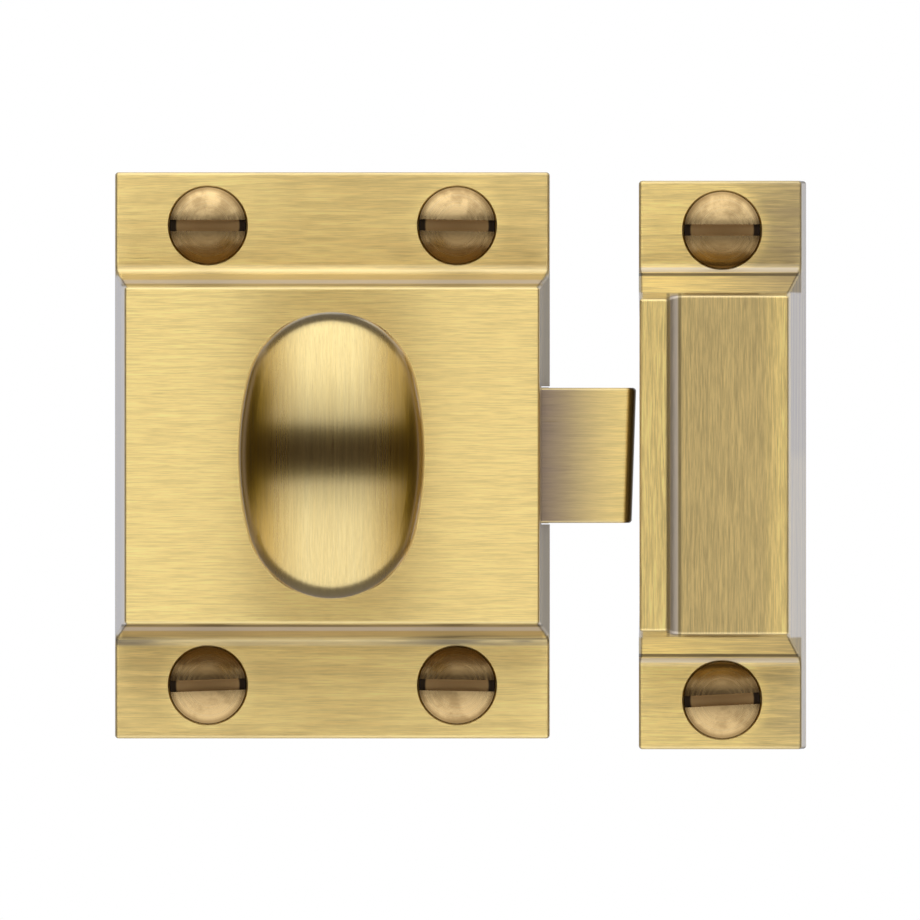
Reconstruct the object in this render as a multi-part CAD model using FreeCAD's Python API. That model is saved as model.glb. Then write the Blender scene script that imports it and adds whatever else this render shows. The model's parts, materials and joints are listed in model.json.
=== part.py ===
# Cupboard catch latch: a cast rim case with an oval turn knob and a sprung bolt, and its keep.
# Millimetres. +Z is up as fixed on a door, +X points to the keep, and -Y to the room.
# The origin is the middle of the case's back face, which lies on the door.
import FreeCAD, Part
import math
import os

from FreeCAD import Vector

# Case casting
case_width = 38.4  # across the back face
case_height = 50.0
case_depth = 11.0  # back face to front panel
flange_thick = 3.0
body_height = 32.1  # raised body, where it meets the flanges
panel_height = 29.6  # front panel
side_lean = 0.95  # how far each side of the raised body leans in
lean_start = 0.5  # the sides begin to lean this far behind the flanges' faces
front_wall = 1.65
side_wall = 2.5  # at the back face
cavity_height = 26.0
cavity_corner = 1.5
root_fillet = 1.0  # where the raised body meets a flange
edge_round = 0.3  # worn front edges of the castings

# Back plate and its screws
plate_thick = 1.2
plate_recess = 0.2  # the plate lies this far inside the back face
plate_ledge = 1.1  # seat around the cavity
plate_gap = 0.1  # around the plate's edge
plate_screw_side = 5.7  # from the cavity's side wall to the screw's middle
plate_screw_end = 1.1  # from the cavity's end wall
plate_screw_length = 5.0
plate_head_radius = 2.2
plate_thread_radius = 1.0
plate_slot_width = 0.65
plate_boss_radius = 2.0

# Bolt
bolt_height = 11.9
bolt_reach = 7.6  # out of the case's side
bolt_throw = 7.5  # drawn back by the knob
bolt_end_slant = 0.4  # the end's lower corner stands back by this much
bolt_end_round = 0.9  # front edge of the end
bolt_edge_round = 0.3
bolt_tip_thick = 1.6  # left at the end by the bevel behind it
slide_gap = 0.15  # around the bolt where it slides
shoulder_height = 16.0  # stop inside the case
tail_thick = 2.0
tail_back = 2.65  # from the bolt's back face to the tail's
tail_bar = 3.2

# Knob and spindle
knob_length = 25.3
knob_width = 16.4
knob_end_radius = 7.6  # arcs at the two ends of the oval
knob_thick = 10.5
knob_reach = 17.0  # front panel to the knob's crown
crown_radius_long = 24.0  # of the crown along the oval
crown_radius_short = 13.0  # of the crown across it
crown_margin = 1.0  # the crown's barrel runs this far past each end of the oval
knob_front_round = 3.0
knob_back_round = 3.0
neck_radius = 4.0
neck_foot_radius = 5.2
neck_foot_thick = 1.2
knob_gap = 0.15  # between the neck's foot and the panel
spindle_radius = 3.0
spindle_depth = 9.0  # held inside the knob
running_gap = 0.05  # around the spindle in the case
press_gap = 0.01  # a press fit, drawn to size
square_size = 4.2  # across the spindle's flats
square_gap = 0.05
bearing_length = 4.5  # front wall and boss together
boss_wall = 1.55

# Follower on the spindle
knob_swing = 50.0  # degrees that draw the bolt right back
follower_hub_radius = 4.2
follower_hub_thick = 2.6
arm_tip_radius = 1.6
arm_width = 1.9
arm_gap = 0.2  # between the arm's tip and the bolt's horn
horn_height = 2.4
horn_margin = 0.5  # the horn reaches this far past the arm's lowest place
hub_gap = 1.0  # between the hub and the bolt's tail
washer_radius = 3.4
washer_thick = 0.6
follower_screw_radius = 1.25
follower_screw_length = 5.5
follower_head_radius = 2.4
follower_head_thick = 1.3
follower_slot_width = 0.65
tap_gap = 0.05  # around a machine screw's thread

# Coil spring, on a lug cast inside the case
lug_thick = 1.5
lug_height = 5.0
lug_overlap = 1.7  # the lug reaches this far past the coil's middle
spring_radius = 1.25  # to the middle of the wire
spring_wire = 0.4
spring_turns = 11
spring_bore_gap = 0.25
spring_bore_depth = 7.5
spring_pin_radius = 0.8
spring_pin_reach = 4.0

# Keep casting
keep_gap = 0.27  # between the bolt's end and the keep
keep_drop = 0.85  # the keep lies this far below the case's middle
keep_width = 14.8
keep_height = 50.2
keep_depth = 11.0  # back face to panel
keep_body_height = 34.3
keep_panel_height = 29.8
keep_side_lean = 1.7
keep_wall = 2.4
lip_width = 2.5
lip_rise = 1.1  # above the panel
lip_cove = 1.0  # hollow fillet beside the lip
keep_root_fillet = 0.9
pocket_gap = 0.3  # between the bolt's front face and the hood

# Wood screws
head_radius = 3.37
head_rise = 0.75  # of the raised head
head_land = 0.2  # straight rim of the head
shank_radius = 1.5
thread_radius = 1.75
screw_length = 16.0  # from the flange's face to the point
point_length = 3.5
screw_slot_width = 1.0
screw_slot_depth = 1.0
screw_hole_gap = 0.15
sink_gap = 0.18  # around the head in its countersink
case_screw_spacing = 22.0  # across the case
case_screw_shift = 0.225  # from the flange's middle towards the body
case_slot_tilts = (0.0, 1.0, -2.0, 1.0)  # degrees: upper left, upper right, lower left, lower right
keep_screw_shift = 0.375  # from the flange's middle towards the body
keep_screw_inset = 7.35  # from the keep's mouth
keep_slot_tilts = (0.0, -3.0)  # upper, lower

# Levels and places that follow from the sizes above
panel_y = -case_depth
flange_y = -flange_thick
lean_y = flange_y + lean_start
inner_y = panel_y + front_wall
plate_y = -plate_recess - plate_thick
bolt_front_y = inner_y + slide_gap
bolt_back_y = plate_y - slide_gap
tail_back_y = bolt_back_y - tail_back
tail_front_y = tail_back_y - tail_thick
boss_y = panel_y + bearing_length
follower_front_y = boss_y + slide_gap
follower_back_y = follower_front_y + follower_hub_thick
crown_y = panel_y - knob_reach
knob_back_y = crown_y + knob_thick
foot_y = panel_y - knob_gap
cavity_half_width = case_width / 2 - side_wall
plate_screw_x = cavity_half_width - plate_screw_side
plate_screw_z = cavity_height / 2 - plate_screw_end
case_screw_z = (case_height + body_height) / 4 - case_screw_shift
keep_screw_z = (keep_height + keep_body_height) / 4 - keep_screw_shift
bolt_end_x = case_width / 2 + bolt_reach
boss_radius = spindle_radius + running_gap + boss_wall
lug_x = follower_hub_radius + 2 * arm_gap
lug_face_x = lug_x + lug_thick
shoulder_x = lug_face_x + bolt_throw + arm_gap
spring_y = (bolt_front_y + bolt_back_y) / 2
spring_bore_radius = spring_radius + spring_wire / 2 + spring_bore_gap
arm_radius = bolt_throw / 2 / math.sin(math.radians(knob_swing / 2))
arm_tip_x = arm_radius * math.sin(math.radians(knob_swing / 2))
arm_tip_z = -arm_radius * math.cos(math.radians(knob_swing / 2))
keep_x = bolt_end_x + keep_gap
keep_right_x = keep_x + keep_width
keep_panel_y = -keep_depth
keep_lip_y = keep_panel_y - lip_rise
pocket_y = bolt_front_y - pocket_gap

y_axis = Vector(0, 1, 0)
x_axis = Vector(1, 0, 0)
z_axis = Vector(0, 0, 1)
near = 1e-4  # two points closer than this are one
probe = 0.01  # how far from an edge its corner is tried
crease_angle = math.radians(8)  # faces that meet at less run smoothly together


def box(x0, x1, y0, y1, z0, z1):
    corner = Vector(min(x0, x1), min(y0, y1), min(z0, z1))
    return Part.makeBox(abs(x1 - x0), abs(y1 - y0), abs(z1 - z0), corner)


def rod(radius, x, z, y0, y1):
    # A round bar along Y.
    return Part.makeCylinder(radius, abs(y1 - y0), Vector(x, min(y0, y1), z), y_axis)


def tapered_block(back, back_y, front, front_y):
    # A block between two rectangles, each given as (x0, x1, z0, z1), that face each other along Y.
    rings = []
    for (x0, x1, z0, z1), y in ((back, back_y), (front, front_y)):
        rings.append([Vector(x0, y, z0), Vector(x1, y, z0), Vector(x1, y, z1), Vector(x0, y, z1)])
    walls = list(rings)
    for i in range(4):
        j = (i + 1) % 4
        walls.append([rings[0][i], rings[0][j], rings[1][j], rings[1][i]])
    faces = [Part.Face(Part.makePolygon(points + points[:1])) for points in walls]
    solid = Part.Solid(Part.Shell(faces))
    solid.fixTolerance(1e-7)
    if solid.Volume < 0:
        solid.reverse()
    return solid


def creases(shape, convex):
    # The edges where two faces meet at an angle: outer corners if convex, inner ones if not.
    found = []
    for edge in shape.Edges:
        faces = shape.ancestorsOfType(edge, Part.Face)
        if len(faces) != 2:
            continue
        middle = edge.valueAt((edge.FirstParameter + edge.LastParameter) / 2)
        normals = [face.normalAt(*face.Surface.parameter(middle)) for face in faces]
        if normals[0].getAngle(normals[1]) < crease_angle:
            continue
        step = (normals[0] - normals[1]).normalize() * probe
        if shape.isInside(middle + step, near, True) != convex:
            found.append(edge)
    return found


def lies_at(edge, axis, value):
    # True where both ends of an edge have this value along the axis.
    return all(abs(v.Point.dot(axis) - value) < near for v in edge.Vertexes)


def front_rim(casting):
    # The outer edges of a casting that are softened: all but the sharp rim of its back face.
    return [e for e in creases(casting, True) if not lies_at(e, y_axis, 0)]


def screw_seat(x, z, fillet):
    # What a wood screw needs cut out of a flange: a clearance hole, a countersink, and room for the head
    # where it runs into the fillet beside it.
    hole_radius = thread_radius + screw_hole_gap
    mouth_radius = head_radius + sink_gap
    hole = rod(hole_radius, x, z, flange_y, 0).fuse(rod(mouth_radius, x, z, flange_y - fillet, flange_y))
    sink_depth = mouth_radius - hole_radius
    sink = Part.makeCone(mouth_radius, hole_radius, sink_depth, Vector(x, flange_y, z), y_axis)
    return hole.fuse(sink)


def case_screw_places():
    half = case_screw_spacing / 2
    return [(x, z) for z in (case_screw_z, -case_screw_z) for x in (-half, half)]


def keep_screw_places():
    x = keep_x + keep_screw_inset
    return [(x, side * keep_screw_z - keep_drop) for side in (1, -1)]


def plate_screw_places():
    return [(x, z) for z in (plate_screw_z, -plate_screw_z) for x in (-plate_screw_x, plate_screw_x)]


def case_side(y):
    # Half the case's width at a level: square along the flanges, then leaning in towards the front.
    return case_width / 2 - side_lean * max(0, lean_y - y) / (lean_y - panel_y)


def case_blank():
    # The casting's section, carried across the case, with its sides cut to their lean and its edges softened.
    half = case_height / 2
    foot = body_height / 2
    top = panel_height / 2
    section = [
        (0, -half), (0, half), (flange_y, half), (flange_y, foot),
        (panel_y, top), (panel_y, -top), (flange_y, -foot), (flange_y, -half),
    ]
    points = [Vector(-case_width / 2, y, z) for y, z in section]
    blank = Part.Face(Part.makePolygon(points + points[:1])).extrude(x_axis * case_width)
    blank = blank.makeFillet(root_fillet, creases(blank, False))
    levels = [0, lean_y, panel_y]
    right = [Vector(case_side(y), y, -half) for y in levels]
    left = [Vector(-case_side(y), y, -half) for y in reversed(levels)]
    points = right + left
    blank = blank.common(Part.Face(Part.makePolygon(points + points[:1])).extrude(z_axis * case_height))
    return blank.makeFillet(edge_round, front_rim(blank))


def soft_box(x_half, z_half, y0, y1, corner):
    # A box about the Y axis with rounded corners along Y.
    block = box(-x_half, x_half, y0, y1, -z_half, z_half)
    return block.makeFillet(corner, [e for e in block.Edges if not lies_at(e, y_axis, e.Vertexes[0].Y)])


def make_case():
    half_height = cavity_height / 2
    case = case_blank()
    cavity = soft_box(cavity_half_width, half_height, inner_y, 0, cavity_corner)
    ledge = soft_box(
        cavity_half_width + plate_ledge, half_height + plate_ledge, plate_y, 0, cavity_corner + plate_ledge
    )
    notch_half = bolt_height / 2 + slide_gap
    notch = box(0, case_width, inner_y, 0, -notch_half, notch_half)
    case = case.cut(cavity.fuse([ledge, notch]))
    boss = rod(boss_radius, 0, 0, inner_y, boss_y)
    lug = box(0, lug_face_x, inner_y, spring_y + lug_overlap, -lug_height / 2, lug_height / 2)
    lug = lug.cut(rod(follower_hub_radius + arm_gap, 0, 0, boss_y, 0))
    pillars = [rod(plate_boss_radius, x, z, inner_y, plate_y) for x, z in plate_screw_places()]
    case = case.fuse([boss, lug] + pillars).removeSplitter()
    holes = [rod(spindle_radius + running_gap, 0, 0, panel_y, boss_y)]
    holes.append(spring_pin_bar(press_gap))
    tap_depth = plate_screw_length + 2 * slide_gap
    for x, z in plate_screw_places():
        holes.append(rod(plate_thread_radius + tap_gap, x, z, plate_y - tap_depth, plate_y))
    for x, z in case_screw_places():
        holes.append(screw_seat(x, z, root_fillet))
    return case.cut(holes)


def make_back_plate():
    x_half = cavity_half_width + plate_ledge - plate_gap
    z_half = cavity_height / 2 + plate_ledge - plate_gap
    plate = soft_box(x_half, z_half, plate_y, -plate_recess, cavity_corner + plate_ledge)
    tongue_half = bolt_height / 2 + slide_gap - plate_gap
    tongue = box(0, case_side(plate_y) - plate_gap, plate_y, -plate_recess, -tongue_half, tongue_half)
    plate = plate.fuse(tongue).removeSplitter()
    holes = []
    for x, z in plate_screw_places():
        radius = plate_head_radius + tap_gap
        hole_radius = plate_thread_radius + 2 * tap_gap
        holes.append(rod(hole_radius, x, z, plate_y, 0))
        top = Vector(x, -plate_recess, z)
        holes.append(Part.makeCone(radius, hole_radius, radius - hole_radius, top, -y_axis))
    return plate.cut(holes)


def make_back_plate_screws():
    screws = []
    for x, z in plate_screw_places():
        top = Vector(x, -plate_recess, z)
        depth = plate_head_radius - plate_thread_radius
        head = Part.makeCone(plate_head_radius, plate_thread_radius, depth, top, -y_axis)
        thread = rod(plate_thread_radius, x, z, plate_y - plate_screw_length, -plate_recess - depth)
        reach = plate_head_radius
        half = plate_slot_width / 2
        slot = box(x - reach, x + reach, -plate_recess - depth / 2, 0, z - half, z + half)
        screws.append(head.fuse(thread).removeSplitter().cut(slot))
    return Part.makeCompound(screws)


def wood_screw(tilt):
    # Turned about Y with its head's rim on the flange's face: raised head, cone, shank, thread and point.
    rim_y = flange_y - head_land / 2
    land_y = flange_y + head_land / 2
    cone_y = land_y + head_radius - shank_radius
    point_y = flange_y + screw_length
    points = [
        (0, rim_y - head_rise), (head_radius, rim_y), (head_radius, land_y), (shank_radius, cone_y),
        (shank_radius, 0), (thread_radius, 0), (thread_radius, point_y - point_length), (0, point_y),
    ]
    corners = [Vector(radius, y, 0) for radius, y in points]
    dome_radius = (head_radius**2 + head_rise**2) / (2 * head_rise)
    half_turn = math.asin(head_radius / dome_radius) / 2
    crown = Vector(dome_radius * math.sin(half_turn), rim_y - head_rise, 0)
    crown.y += dome_radius * (1 - math.cos(half_turn))
    edges = [Part.Arc(corners[0], crown, corners[1]).toShape()]
    for start, end in zip(corners[1:], corners[2:] + corners[:1]):
        edges.append(Part.makeLine(start, end))
    screw = Part.Face(Part.Wire(edges)).revolve(Vector(), y_axis, 360)
    top_y = rim_y - head_rise
    half = screw_slot_width / 2
    slot = box(-2 * head_radius, 2 * head_radius, top_y, top_y + screw_slot_depth, -half, half)
    slot.rotate(Vector(), y_axis, tilt)
    return screw.cut(slot)


def wood_screws(places, tilts):
    screws = []
    for (x, z), tilt in zip(places, tilts):
        screw = wood_screw(tilt)
        screw.translate(Vector(x, 0, z))
        screws.append(screw)
    return Part.makeCompound(screws)


def make_latch_bolt():
    half = bolt_height / 2
    outline = [
        Vector(shoulder_x, bolt_front_y, -half), Vector(bolt_end_x - bolt_end_slant, bolt_front_y, -half),
        Vector(bolt_end_x, bolt_front_y, half), Vector(shoulder_x, bolt_front_y, half),
    ]
    face = Part.Face(Part.makePolygon(outline + outline[:1]))
    nose = face.extrude(y_axis * (bolt_back_y - bolt_front_y))
    bevel = bolt_back_y - bolt_front_y - bolt_tip_thick
    slope = [
        Vector(bolt_end_x, bolt_back_y - bevel, -half), Vector(bolt_end_x, bolt_back_y, -half),
        Vector(bolt_end_x - bevel, bolt_back_y, -half),
    ]
    wedge = Part.Face(Part.makePolygon(slope + slope[:1])).extrude(z_axis * bolt_height)
    nose = nose.cut(wedge)
    front = [e for e in nose.Edges if lies_at(e, y_axis, bolt_front_y)]
    end_edge = [e for e in front if min(v.X for v in e.Vertexes) > shoulder_x + near]
    nose = nose.makeFillet(bolt_end_round, end_edge)
    shown = [e for e in creases(nose, True) if not lies_at(e, x_axis, shoulder_x)]
    nose = nose.makeFillet(bolt_edge_round, shown)
    stop_x = cavity_half_width - arm_gap
    stop = shoulder_height / 2
    shoulder = box(shoulder_x, stop_x, bolt_front_y, bolt_back_y, -stop, stop)
    bolt = nose.fuse([shoulder, bolt_tail(stop)])
    bore = Part.makeCylinder(spring_bore_radius, spring_bore_depth, Vector(shoulder_x, spring_y, 0), x_axis)
    return bolt.removeSplitter().cut(bore)


def bolt_tail(stop):
    # A hook round the spindle: a bar over it, a bar behind it and a horn that the follower's arm draws.
    window_x = -follower_hub_radius - hub_gap
    back_x = window_x - tail_bar
    window_top = stop - tail_bar
    horn_x = arm_tip_x - arm_tip_radius - arm_gap
    horn_low = -arm_radius - horn_margin
    horn_top = horn_low + horn_height
    outline = [
        (shoulder_x, stop), (back_x, stop), (back_x, horn_low), (horn_x, horn_low),
        (horn_x, horn_top), (window_x, horn_top), (window_x, window_top), (shoulder_x, window_top),
    ]
    points = [Vector(x, tail_front_y, z) for x, z in outline]
    return Part.Face(Part.makePolygon(points + points[:1])).extrude(y_axis * tail_thick)


def oval(y):
    # The knob's outline: two long side arcs and two end arcs that run into each other.
    half_length = knob_length / 2
    half_width = knob_width / 2
    end_z = half_length - knob_end_radius
    side_radius = (half_width**2 + end_z**2 - knob_end_radius**2) / (2 * (half_width - knob_end_radius))
    share = knob_end_radius / (side_radius - knob_end_radius)
    join_x = share * (side_radius - half_width)
    join_z = end_z + share * end_z
    right_low = Vector(join_x, y, -join_z)
    right_top = Vector(join_x, y, join_z)
    left_top = Vector(-join_x, y, join_z)
    left_low = Vector(-join_x, y, -join_z)
    arcs = [
        Part.Arc(right_low, Vector(half_width, y, 0), right_top),
        Part.Arc(right_top, Vector(0, y, half_length), left_top),
        Part.Arc(left_top, Vector(-half_width, y, 0), left_low),
        Part.Arc(left_low, Vector(0, y, -half_length), right_low),
    ]
    return Part.Face(Part.Wire([arc.toShape() for arc in arcs]))


def crown():
    # A barrel whose front is the knob's crown: one arc along the oval, turned about an axis behind it.
    reach = knob_length / 2 + crown_margin
    axis_y = crown_y + crown_radius_short
    end_y = crown_y + crown_radius_long - math.sqrt(crown_radius_long**2 - reach**2)
    low = Vector(0, end_y, -reach)
    top = Vector(0, end_y, reach)
    arc = Part.Arc(low, Vector(0, crown_y, 0), top).toShape()
    edges = [arc]
    path = [top, Vector(0, axis_y, reach), Vector(0, axis_y, -reach), low]
    for start, end in zip(path, path[1:]):
        edges.append(Part.makeLine(start, end))
    return Part.Face(Part.Wire(edges)).revolve(Vector(0, axis_y, 0), z_axis, 360)


def neck():
    # Turned about Y: a foot on the panel, a hollow sweep to the neck, and a root inside the knob.
    sweep_y = foot_y - neck_foot_thick
    waist_y = (sweep_y + knob_back_y) / 2
    hollow = Part.Arc(
        Vector(neck_foot_radius, sweep_y, 0),
        Vector(neck_radius, waist_y, 0),
        Vector(neck_foot_radius, knob_back_y, 0),
    ).toShape()
    root = knob_back_y - knob_back_round
    path = [
        Vector(neck_foot_radius, knob_back_y, 0), Vector(neck_foot_radius, root, 0), Vector(0, root, 0),
        Vector(0, foot_y, 0), Vector(neck_foot_radius, foot_y, 0), Vector(neck_foot_radius, sweep_y, 0),
    ]
    edges = [Part.makeLine(start, end) for start, end in zip(path, path[1:])]
    return Part.Face(Part.Wire([hollow] + edges)).revolve(Vector(), y_axis, 360)


def make_oval_knob():
    blank = oval(knob_back_y).extrude(-y_axis * knob_thick)
    back_rim = [e for e in blank.Edges if lies_at(e, y_axis, knob_back_y)]
    domed = blank.makeFillet(knob_back_round, back_rim).common(crown())
    domed = domed.makeFillet(knob_front_round, creases(domed, True))
    knob = domed.fuse(neck()).removeSplitter()
    return knob.cut(rod(spindle_radius + press_gap, 0, 0, foot_y, foot_y - spindle_depth))


def make_spindle():
    end_y = follower_back_y - slide_gap
    bar = rod(spindle_radius, 0, 0, foot_y - spindle_depth, end_y)
    half = square_size / 2
    square = box(-half, half, follower_front_y, end_y, -half, half)
    ring = rod(2 * spindle_radius, 0, 0, follower_front_y, end_y)
    bar = bar.cut(ring.cut(square))
    depth = follower_screw_length + slide_gap
    return bar.cut(rod(follower_screw_radius + tap_gap, 0, 0, end_y - depth, end_y))


def make_follower():
    hub = rod(follower_hub_radius, 0, 0, follower_front_y, follower_back_y)
    tip = rod(arm_tip_radius, arm_tip_x, arm_tip_z, tail_front_y, tail_back_y)
    arm = box(-arm_width / 2, arm_width / 2, tail_front_y, tail_back_y, -arm_radius, 0)
    arm.rotate(Vector(), y_axis, -knob_swing / 2)
    half = square_size / 2 + square_gap
    square = box(-half, half, follower_front_y, follower_back_y, -half, half)
    return hub.fuse([arm, tip]).removeSplitter().cut(square)


def make_follower_washer():
    washer = rod(washer_radius, 0, 0, follower_back_y, follower_back_y + washer_thick)
    return washer.cut(
        rod(follower_screw_radius + 2 * tap_gap, 0, 0, follower_back_y, follower_back_y + washer_thick)
    )


def make_follower_screw():
    seat_y = follower_back_y + washer_thick
    top_y = seat_y + follower_head_thick
    head = rod(follower_head_radius, 0, 0, seat_y, top_y)
    thread = rod(follower_screw_radius, 0, 0, follower_back_y - follower_screw_length, seat_y)
    reach = follower_head_radius
    half = follower_slot_width / 2
    slot = box(-reach, reach, top_y - follower_head_thick / 2, top_y, -half, half)
    return head.fuse(thread).cut(slot)


def spring_pin_bar(gap):
    length = lug_thick + spring_pin_reach
    return Part.makeCylinder(spring_pin_radius + gap, length, Vector(lug_x, spring_y, 0), x_axis)


def make_bolt_spring():
    # A coil from the lug's face to the floor of the bolt's bore.
    start_x = lug_face_x + spring_wire / 2
    end_x = shoulder_x + spring_bore_depth - spring_wire / 2
    length = end_x - start_x
    helix = Part.makeHelix(length / spring_turns, length, spring_radius)
    section = Part.Wire(Part.makeCircle(spring_wire / 2, Vector(spring_radius, 0, 0), y_axis))
    coil = Part.Wire(helix).makePipeShell([section], True, True)
    coil.rotate(Vector(), y_axis, 90)
    coil.translate(Vector(start_x, spring_y, 0))
    return coil


def keep_side(y):
    # The keep's outer side at a level: it leans in, while the mouth stands square.
    return keep_right_x + keep_side_lean * y / keep_depth


def keep_half(y):
    # Half the height of the keep's raised body at a level.
    slope = (keep_body_height - keep_panel_height) / 2 / (keep_depth - flange_thick)
    return keep_body_height / 2 + slope * (y - flange_y)


def keep_ring(y, half, x0, inset):
    return (x0, keep_side(y) - inset, -half + inset - keep_drop, half - inset - keep_drop)


def make_keep():
    half = keep_height / 2
    flanges = tapered_block(keep_ring(0, half, keep_x, 0), 0, keep_ring(flange_y, half, keep_x, 0), flange_y)
    body = tapered_block(
        keep_ring(flange_y, keep_half(flange_y), keep_x, 0), flange_y,
        keep_ring(keep_lip_y, keep_half(keep_lip_y), keep_x, 0), keep_lip_y,
    )
    step_x = keep_x + lip_width
    body = body.cut(box(step_x, keep_right_x, keep_lip_y, keep_panel_y, -keep_height, keep_height))
    body = body.makeFillet(lip_cove, creases(body, False))
    blank = flanges.fuse(body).removeSplitter()
    root = [e for e in creases(blank, False) if lies_at(e, y_axis, flange_y)]
    soft = blank.makeFillet(keep_root_fillet, root)
    keep = soft.makeFillet(edge_round, front_rim(soft))
    mouth_x = keep_x - keep_width
    pocket = tapered_block(
        keep_ring(0, keep_half(0), mouth_x, keep_wall), 0,
        keep_ring(pocket_y, keep_half(pocket_y), mouth_x, keep_wall), pocket_y,
    )
    return keep.cut([pocket] + [screw_seat(x, z, keep_root_fillet) for x, z in keep_screw_places()])


nodes = {
    "case": make_case(),
    "back_plate": make_back_plate(),
    "back_plate_screws": make_back_plate_screws(),
    "case_screws": wood_screws(case_screw_places(), case_slot_tilts),
    "oval_knob": make_oval_knob(),
    "spindle": make_spindle(),
    "follower": make_follower(),
    "follower_washer": make_follower_washer(),
    "follower_screw": make_follower_screw(),
    "latch_bolt": make_latch_bolt(),
    "bolt_spring": make_bolt_spring(),
    "spring_pin": spring_pin_bar(0),
    "keep": make_keep(),
    "keep_screws": wood_screws(keep_screw_places(), keep_slot_tilts),
}

os.makedirs("parts", exist_ok=True)
for name, shape in nodes.items():
    shape.exportStep(f"parts/{name}.step")
    print(name, len(shape.Solids), "solids", round(shape.Volume, 1), "mm3, valid", shape.isValid())
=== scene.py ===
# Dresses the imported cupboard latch: brushed antique brass, slotted wood screws with cut threads, and a wound
# spring. Metres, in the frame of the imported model: +X runs to the keep, -Y to the room and +Z up.
import json
import math

import bmesh
import bpy
import numpy as np
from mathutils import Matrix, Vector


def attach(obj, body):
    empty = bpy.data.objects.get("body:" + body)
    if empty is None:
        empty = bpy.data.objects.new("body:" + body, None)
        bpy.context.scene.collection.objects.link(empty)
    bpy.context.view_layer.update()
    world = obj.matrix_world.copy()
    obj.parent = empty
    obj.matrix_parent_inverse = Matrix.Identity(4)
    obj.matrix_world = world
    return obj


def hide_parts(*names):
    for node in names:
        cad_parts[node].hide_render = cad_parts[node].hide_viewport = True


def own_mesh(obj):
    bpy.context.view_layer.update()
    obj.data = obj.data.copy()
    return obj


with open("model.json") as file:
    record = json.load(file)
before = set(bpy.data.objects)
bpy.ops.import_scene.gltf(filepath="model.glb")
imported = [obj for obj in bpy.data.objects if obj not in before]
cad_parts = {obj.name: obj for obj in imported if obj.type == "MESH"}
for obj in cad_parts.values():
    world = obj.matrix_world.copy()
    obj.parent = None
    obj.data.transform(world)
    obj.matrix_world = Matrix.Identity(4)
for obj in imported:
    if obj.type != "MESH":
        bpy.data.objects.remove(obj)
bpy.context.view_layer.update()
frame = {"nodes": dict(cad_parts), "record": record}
nodes = frame["nodes"]
mounts = {m["name"]: m for m in frame["record"]["mounts"]}
mm = 0.001
print("frame loaded:", len(nodes), "nodes")


# Small helpers for shader trees. A value may be a plain number, a colour or another node's socket.
def plug(tree, value, socket):
    if isinstance(value, bpy.types.NodeSocket):
        tree.links.new(value, socket)
    else:
        socket.default_value = value


def addNode(tree, kind, inputs=None, **settings):
    node = tree.nodes.new(kind)
    for name, value in settings.items():
        setattr(node, name, value)
    for key, value in (inputs or {}).items():
        plug(tree, value, node.inputs[key])
    return node


def sums(tree, operation, *values, clamp=False):
    inputs = dict(enumerate(values))
    return addNode(tree, "ShaderNodeMath", inputs, operation=operation, use_clamp=clamp).outputs[0]


def times(tree, first, *others):
    for other in others:
        first = sums(tree, "MULTIPLY", first, other)
    return first


def without(tree, mask):  # 1 where the mask is 0
    return sums(tree, "SUBTRACT", 1.0, mask)


def unsigned(tree, value):
    return sums(tree, "ABSOLUTE", value)


def awayFrom(tree, value, middle):
    return unsigned(tree, sums(tree, "SUBTRACT", value, middle))


def distance(tree, across, up):
    squares = [sums(tree, "POWER", side, 2.0) for side in (across, up)]
    return sums(tree, "SQRT", sums(tree, "ADD", *squares))


def vectors(tree, operation, first, second):
    key = "Scale" if operation == "SCALE" else 1
    return addNode(tree, "ShaderNodeVectorMath", {0: first, key: second}, operation=operation).outputs[0]


def ramp(tree, value, low, high, start=0.0, end=1.0):  # smooth step between two limits
    inputs = dict(enumerate((value, low, high, start, end)))
    return addNode(tree, "ShaderNodeMapRange", inputs, interpolation_type="SMOOTHSTEP").outputs[0]


def fade(tree, value, full, gone):
    return ramp(tree, value, full, gone, 1.0, 0.0)


def halves(tree, value, below, above):  # one level below zero and another above it
    return ramp(tree, value, -1.0, 1.0, below, above)


def blend(tree, factor, first, second, mode="MIX"):  # two colours
    inputs = {0: factor, 6: first, 7: second}
    return addNode(tree, "ShaderNodeMix", inputs, data_type="RGBA", blend_type=mode).outputs[2]


def mixed(tree, factor, first, second):  # two values
    return addNode(tree, "ShaderNodeMix", {0: factor, 2: first, 3: second}, data_type="FLOAT").outputs[0]


def mixedVectors(tree, factor, first, second):
    return addNode(tree, "ShaderNodeMix", {0: factor, 4: first, 5: second}, data_type="VECTOR").outputs[1]


def greyOf(tree, light):
    return addNode(tree, "ShaderNodeCombineColor", {0: light, 1: light, 2: light}).outputs[0]


def stretched(tree, vector, scale, shift=(0, 0, 0)):
    inputs = {"Vector": vector, "Scale": scale, "Location": shift}
    return addNode(tree, "ShaderNodeMapping", inputs).outputs[0]


def noise(tree, vector, scale=1.0, detail=2.0, rough=0.5):
    inputs = {"Vector": vector, "Scale": scale, "Detail": detail, "Roughness": rough}
    return addNode(tree, "ShaderNodeTexNoise", inputs).outputs[0]


def parts(tree, vector):  # x, y and z of a vector
    return addNode(tree, "ShaderNodeSeparateXYZ", {0: vector}).outputs


def turned(tree, vector, kind, start, end):  # between the piece's own axes and the world's
    settings = {"vector_type": kind, "convert_from": start, "convert_to": end}
    return addNode(tree, "ShaderNodeVectorTransform", {0: vector}, **settings).outputs[0]


def bumped(tree, shader, height, strength, depth):  # depth in millimetres
    inputs = {"Height": height, "Strength": strength, "Distance": depth * mm}
    plug(tree, addNode(tree, "ShaderNodeBump", inputs).outputs[0], shader.inputs["Normal"])


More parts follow.
